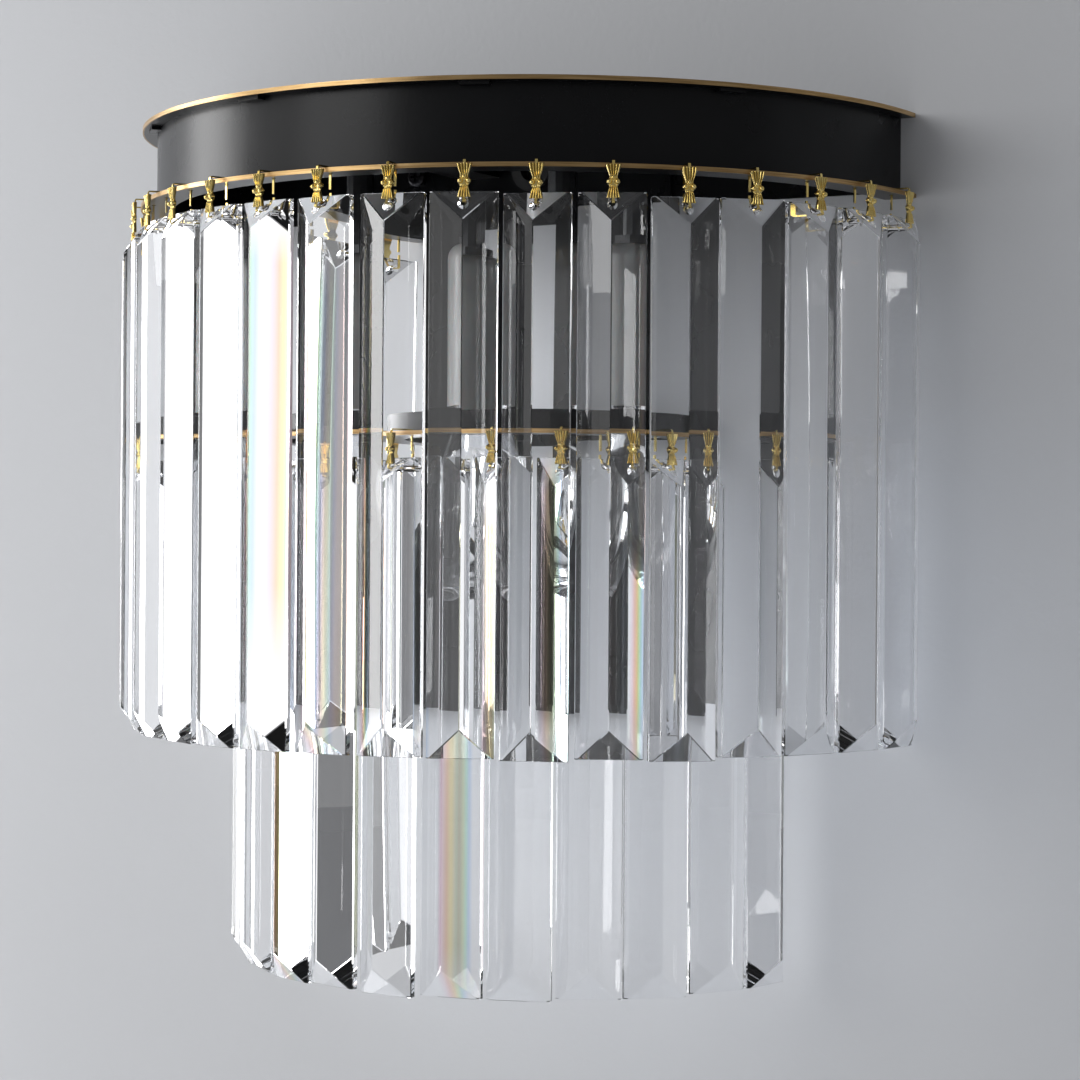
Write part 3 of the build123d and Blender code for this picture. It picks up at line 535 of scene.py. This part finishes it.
def strip_mesh(route, width, thickness):
    """Flat strip bent along a route of (outward, up) points, with rounded bends."""
    path = [route[0]]
    for before, corner, after in zip(route, route[1:], route[2:]):
        before, corner, after = Vector(before), Vector(corner), Vector(after)
        reach = min(BEND_REACH, (before - corner).length / 2, (after - corner).length / 2)
        start = corner + (before - corner).normalized() * reach
        end = corner + (after - corner).normalized() * reach
        for step in range(BEND_STEPS + 1):
            part = step / BEND_STEPS
            path.append(tuple(start * (1 - part) ** 2 + corner * 2 * part * (1 - part)
                              + end * part ** 2))
    path.append(route[-1])
    points, faces = [], []
    for index, here in enumerate(path):
        before = Vector(path[max(index - 1, 0)])
        after = Vector(path[min(index + 1, len(path) - 1)])
        along = (after - before).normalized()
        normal = Vector((-along.y, along.x)) * thickness / 2
        for across in (-width / 2, width / 2):
            for turn in (-1, 1):
                points.append((across, here[0] + turn * normal.x, here[1] + turn * normal.y))
    for index in range(len(path) - 1):
        a = index * 4
        for first, second in ((0, 1), (1, 3), (3, 2), (2, 0)):
            faces.append((a + first, a + second, a + second + 4, a + first + 4))
    last = (len(path) - 1) * 4
    faces += [(0, 2, 3, 1), (last, last + 1, last + 3, last + 2)]
    return points, faces


def clip_mesh(ring_radius, ring_bottom):
    """Clip of one prism: points (across, outward, up), faces, which are smooth, and painted groove
    shade.
    """
    bow_back = ring_radius + BOW_STANDOFF
    bow_top = ring_bottom + BOW_RISE
    root = bow_back + STRIP_ROOT
    hook_level = ring_bottom + RING_THICKNESS + HOOK_GAP + PIN_THICKNESS / 2
    pin_level = ring_bottom - PRISM_GAP - PRISM_HOLE_DROP
    glass_middle = ring_radius - PRISM_INSET
    slope = (PRISM_RIDGE - PRISM_END_FRONT) / PRISM_BEVEL
    pin_front = (glass_middle + PRISM_END_FRONT + slope * PRISM_HOLE_DROP + PIN_FRONT_GAP
                 + PIN_THICKNESS / 2)
    pin_back = glass_middle - PRISM_BACK - PIN_BACK_GAP - PIN_THICKNESS / 2
    hole = ring_radius - RING_HOLE_INSET
    bow_points, bow_faces, painted_crease_shades = bow_mesh()
    points = [(x, bow_back + y, bow_top + z) for x, y, z in bow_points]
    faces, smooth = list(bow_faces), [True] * len(bow_faces)
    for route in (
            [(root, bow_top - STRIP_OVERLAP), (root, hook_level), (hole, hook_level),
             (hole, ring_bottom - PIN_TAIL)],
            [(root, bow_top - BOW_HEIGHT + STRIP_OVERLAP), (pin_front, pin_level),
             (pin_back, pin_level), (pin_back, pin_level + PIN_TAIL)]):
        more, sides = strip_mesh(route, PIN_WIDTH, PIN_THICKNESS)
        start = len(points)
        points += more
        faces += [tuple(start + corner for corner in face) for face in sides]
        smooth += [False] * len(sides)
        painted_crease_shades += [0.0] * len(more)
    return points, faces, smooth, painted_crease_shades


def hang_clips(node, angles, ring_radius, ring_bottom, hangs):
    """Put a tier's clips, turned and dropped with their prisms, in place of the CAD node."""
    points, faces, smooth, painted_crease_shades = clip_mesh(ring_radius, ring_bottom)
    all_points, all_faces = [], []
    for number, angle in enumerate(angles, start=1):
        twist, _, drop = hangs.get(number, HANGS_STRAIGHT)
        hook = outward(angle) * (ring_radius - RING_HOLE_INSET)
        out = outward(angle + twist * CLIP_TURN)
        along = Vector((-out.y, out.x, 0))
        start = len(all_points)
        for across, reach, height in points:
            lowered = height - drop if height < ring_bottom else height
            from_hook = reach - ring_radius + RING_HOLE_INSET
            all_points.append(tuple((hook + along * across + out * from_hook
                                     + Vector((0, 0, lowered))) * MM))
        all_faces += [tuple(start + corner for corner in face) for face in faces]
    mesh = bpy.data.meshes.new(node + "_stamped")
    mesh.from_pydata(all_points, [], all_faces)
    for face, is_smooth in zip(mesh.polygons, smooth * len(angles)):
        face.use_smooth = is_smooth
    mesh.materials.append(clip_gold)
    # keep the painted groove shade on the points for the clips' material
    painted_crease_shade = mesh.attributes.new("painted_crease_shade", "FLOAT", "POINT")
    for index, value in enumerate(painted_crease_shades * len(angles)):
        painted_crease_shade.data[index].value = value
    piece = bpy.data.objects.new(node + "_stamped", mesh)
    scene.collection.objects.link(piece)
    shape = bmesh.new()
    shape.from_mesh(mesh)
    bmesh.ops.recalc_face_normals(shape, faces=shape.faces)
    shape.to_mesh(mesh)
    shape.free()
    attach(piece, "root")
    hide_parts(node)


hang_clips("upper_clips", tier(UPPER_COUNT, UPPER_PITCH), RING_RADIUS, RING_BOTTOM, UPPER_HANG)
hang_clips("lower_clips", tier(LOWER_COUNT, LOWER_PITCH), LOWER_RING_RADIUS, LOWER_RING_BOTTOM,
           LOWER_HANG)

# ---------------------------------------------------------------- candle sleeves and bulbs

SLEEVE_RADIUS, SLEEVE_WALL = 12.4, 1.2
SLEEVE_TOP, SLEEVE_LENGTH = -35.0, 57.0
# height of the sleeve's domed shoulder, and how far it reaches in
SLEEVE_DOME, DOME_REACH = 5.0, 4.2
NIPPLE_HOLE = 5.3
BULB_RADIUS, BULB_NECK = 17.2, 9.3
BULB_SEAT, BULB_BELLY, BULB_TIP_DROP = -89.6, -120.0, 41.2
BULB_WALL = 0.7
NECK_STEPS, TIP_STEPS, DOME_STEPS = 10, 24, 12
CAP_RADIUS, CAP_LENGTH = 6.8, 26.3
# (radius, drop) of the contact on the cap's top
CAP_CONTACT = ((0.0, 0.0), (2.4, 0.0), (3.0, 1.2), (6.2, 2.6))
# drop of the first thread below the cap's top, then half a pitch at a time
THREADS_FROM, THREAD_HALF_PITCH, THREAD_STEPS, THREAD_DEPTH = 4.0, 1.6, 10, 0.5
TURN_STEPS = 64
# faces of a turned piece that meet at less than this are shaded as one
SMOOTH_BELOW = math.radians(32)


def turned(name, profiles, x, node, material):
    """Round piece on the axis of the lamp at x, from closed (radius, height) profiles."""
    points, faces = [], []
    for profile in profiles:
        start = len(points)
        count = len(profile)
        for step in range(TURN_STEPS):
            turn = 2 * math.pi * step / TURN_STEPS
            for radius, height in profile:
                points.append(((x + radius * math.cos(turn)) * MM,
                               (LAMP_Y + radius * math.sin(turn)) * MM, height * MM))
        for step in range(TURN_STEPS):
            after = (step + 1) % TURN_STEPS
            for index in range(count):
                following = (index + 1) % count
                faces.append((start + step * count + index, start + after * count + index,
                              start + after * count + following, start + step * count + following))
    mesh = bpy.data.meshes.new(name)
    mesh.from_pydata(points, [], faces)
    shape = bmesh.new()
    shape.from_mesh(mesh)
    bmesh.ops.remove_doubles(shape, verts=shape.verts, dist=1e-6)
    bmesh.ops.recalc_face_normals(shape, faces=shape.faces)
    for edge in shape.edges:
        edge.smooth = len(edge.link_faces) == 2 and edge.calc_face_angle(0) < SMOOTH_BELOW
    for face in shape.faces:
        face.smooth = True
    shape.to_mesh(mesh)
    shape.free()
    mesh.materials.append(material)
    piece = bpy.data.objects.new(name, mesh)
    scene.collection.objects.link(piece)
    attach(piece, "root")
    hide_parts(node)


def arc(middle_radius, middle_height, across, high, start, end, steps=DOME_STEPS):
    """Part of an ellipse of half axes across and high, between two angles in degrees."""
    turns = [math.radians(start + (end - start) * step / steps) for step in range(steps + 1)]
    return [(middle_radius + across * math.cos(turn), middle_height + high * math.sin(turn))
            for turn in turns]


def sleeve_profile():
    """Candle sleeve: a tube with a domed shoulder and a flat top round the nipple."""
    shoulder = SLEEVE_TOP - SLEEVE_DOME
    bottom = SLEEVE_TOP - SLEEVE_LENGTH
    inner = SLEEVE_RADIUS - SLEEVE_WALL
    return ([(SLEEVE_RADIUS, bottom)]
            + arc(SLEEVE_RADIUS - DOME_REACH, shoulder, DOME_REACH, SLEEVE_DOME, 0, 90)
            + [(NIPPLE_HOLE, SLEEVE_TOP), (NIPPLE_HOLE, SLEEVE_TOP - SLEEVE_WALL)]
            + arc(inner - DOME_REACH, shoulder - SLEEVE_WALL, DOME_REACH, SLEEVE_DOME, 90, 0)
            + [(inner, bottom)])


def bulb_profiles():
    """Outside and inside of a candle bulb that hangs from its cap, tip down."""
    outer = [(0.0, BULB_SEAT), (BULB_NECK, BULB_SEAT)]
    for step in range(NECK_STEPS):
        share = 1 - (step + 0.5) / NECK_STEPS
        swell = 0.5 + 0.5 * math.cos(math.pi * share)
        outer.append((BULB_NECK + (BULB_RADIUS - BULB_NECK) * swell,
                      BULB_BELLY + (BULB_SEAT - BULB_BELLY) * share))
    outer += arc(0, BULB_BELLY, BULB_RADIUS, BULB_TIP_DROP, 0, -90, TIP_STEPS)
    inner = []
    for radius, height in outer:
        if height < BULB_BELLY:
            height += BULB_WALL
        elif height == BULB_SEAT:
            height -= BULB_WALL
        inner.append((max(radius - BULB_WALL, 0.0), height))
    return [outer, inner]


def cap_profile():
    """Threaded lamp cap with its contact on top."""
    top = BULB_SEAT + CAP_LENGTH
    contact = [(radius, top - drop) for radius, drop in CAP_CONTACT]
    threads = [(CAP_RADIUS - (THREAD_DEPTH if step % 2 else 0.0),
                top - THREADS_FROM - THREAD_HALF_PITCH * step) for step in range(THREAD_STEPS)]
    return contact + threads + [(CAP_RADIUS, BULB_SEAT), (0.0, BULB_SEAT)]


for side, lamp_x in (("left", -LAMP_X), ("right", LAMP_X)):
    turned(f"candle_sleeve_{side}_turned", [sleeve_profile()], lamp_x, f"candle_sleeve_{side}",
           candle_white_painted_shade)
    turned(f"bulb_{side}_turned", bulb_profiles(), lamp_x, f"bulb_{side}", bulb_glass)
    turned(f"bulb_{side}_cap", [cap_profile()], lamp_x, f"bulb_{side}", nickel)

# ---------------------------------------------------------------- stage, in metres

# just behind the back plate, so the two don't meet
WALL_Y = 0.0006
WALL_HALF_WIDTH, WALL_TOP = 3, 2.2
FLOOR_Z = -0.75
FLOOR_HALF_WIDTH = 5


def stage_plane(name, corners, material):
    mesh = bpy.data.meshes.new(name)
    mesh.from_pydata(corners, [], [(0, 1, 2, 3)])
    mesh.materials.append(material)
    piece = bpy.data.objects.new(name, mesh)
    scene.collection.objects.link(piece)


def wall_material():
    """Matt pale wall that is clear when seen from behind."""
    n = Nodes("stage_wall")
    speck = n.noise(420, 6)
    cloud = n.noise(3, 3)
    shader = n.add("ShaderNodeBsdfPrincipled", {
        "Base Color": n.mix(cloud, (0.60, 0.61, 0.63), (0.66, 0.67, 0.69)),
        "Roughness": 0.8, "Specular IOR Level": 0.2, "Normal": n.bump(speck, 0.2, 0.0004)})
    clear = n.add("ShaderNodeBsdfTransparent")
    behind = n.add("ShaderNodeNewGeometry").outputs["Backfacing"]
    mix = n.add("ShaderNodeMixShader", {0: behind, 1: shader.outputs[0], 2: clear.outputs[0]})
    n.tree.links.new(mix.outputs[0], n.out.inputs["Surface"])
    return n.material


def floor_material():
    n = Nodes("stage_floor")
    speck = n.noise(90, 5)
    return n.surface(Base_Color=n.mix(speck, (0.70, 0.70, 0.71), (0.74, 0.74, 0.75)),
                     Roughness=0.7, Specular_IOR_Level=0.2)


stage_plane("wall_backdrop", [(side * WALL_HALF_WIDTH, WALL_Y, z)
                              for side, z in ((-1, FLOOR_Z), (1, FLOOR_Z), (1, WALL_TOP),
                                              (-1, WALL_TOP))], wall_material())
stage_plane("floor", [(x * FLOOR_HALF_WIDTH, y * FLOOR_HALF_WIDTH, FLOOR_Z)
                      for x, y in ((-1, -1), (1, -1), (1, 1), (-1, 1))], floor_material())

# ---------------------------------------------------------------- light and camera

# place, point it faces, width and height in metres, and power in watts
LIGHTS = {
    "key_softbox": ((-1.30, -0.29, 0.0), (0, -0.05, -0.10), (0.5, 1.4), 16),
    "side_reflector": ((-1.05, -0.98, 0.10), (0, -0.05, -0.15), (0.62, 1.3), 2.5),
    "front_softbox": ((-0.9, -1.7, 0.55), (0, 0, -0.12), (0.9, 0.9), 8.5),
}
STUDIO_COLOUR = (0.64, 0.645, 0.66, 1)
STUDIO_STRENGTH = 0.34
CAMERA_LENS = 93.5
CAMERA_TURN = math.radians(28.8)
CAMERA_ROLL = math.radians(0.4)
CAMERA_DISTANCE = 1.062
CAMERA_Z = -0.139


def area_light(name, location, target, size, power):
    lamp = bpy.data.lights.new(name, "AREA")
    lamp.shape = "RECTANGLE"
    lamp.size, lamp.size_y = size
    lamp.energy = power
    holder = bpy.data.objects.new(name, lamp)
    holder.location = location
    holder.rotation_euler = (Vector(target) - Vector(location)).to_track_quat("-Z", "Y").to_euler()
    scene.collection.objects.link(holder)


for name, settings in LIGHTS.items():
    area_light(name, *settings)

world = bpy.data.worlds.new("studio")
world.use_nodes = True
background = world.node_tree.nodes["Background"]
background.inputs["Color"].default_value = STUDIO_COLOUR
background.inputs["Strength"].default_value = STUDIO_STRENGTH
scene.world = world

camera_data = bpy.data.cameras.new("camera")
camera_data.lens = CAMERA_LENS
camera_data.sensor_width = 36
camera_data.clip_start = 0.01
camera = bpy.data.objects.new("camera", camera_data)
camera.location = (CAMERA_DISTANCE * math.sin(CAMERA_TURN),
                   -CAMERA_DISTANCE * math.cos(CAMERA_TURN), CAMERA_Z)
camera.rotation_euler = (Matrix.Rotation(CAMERA_TURN, 3, "Z")
                         @ Matrix.Rotation(math.pi / 2, 3, "X")
                         @ Matrix.Rotation(CAMERA_ROLL, 3, "Z")).to_euler()
scene.collection.objects.link(camera)
scene.camera = camera

scene.view_settings.view_transform = "Standard"
scene.cycles.max_bounces = 32
scene.cycles.transmission_bounces = 32
scene.cycles.glossy_bounces = 8
scene.cycles.transparent_max_bounces = 16
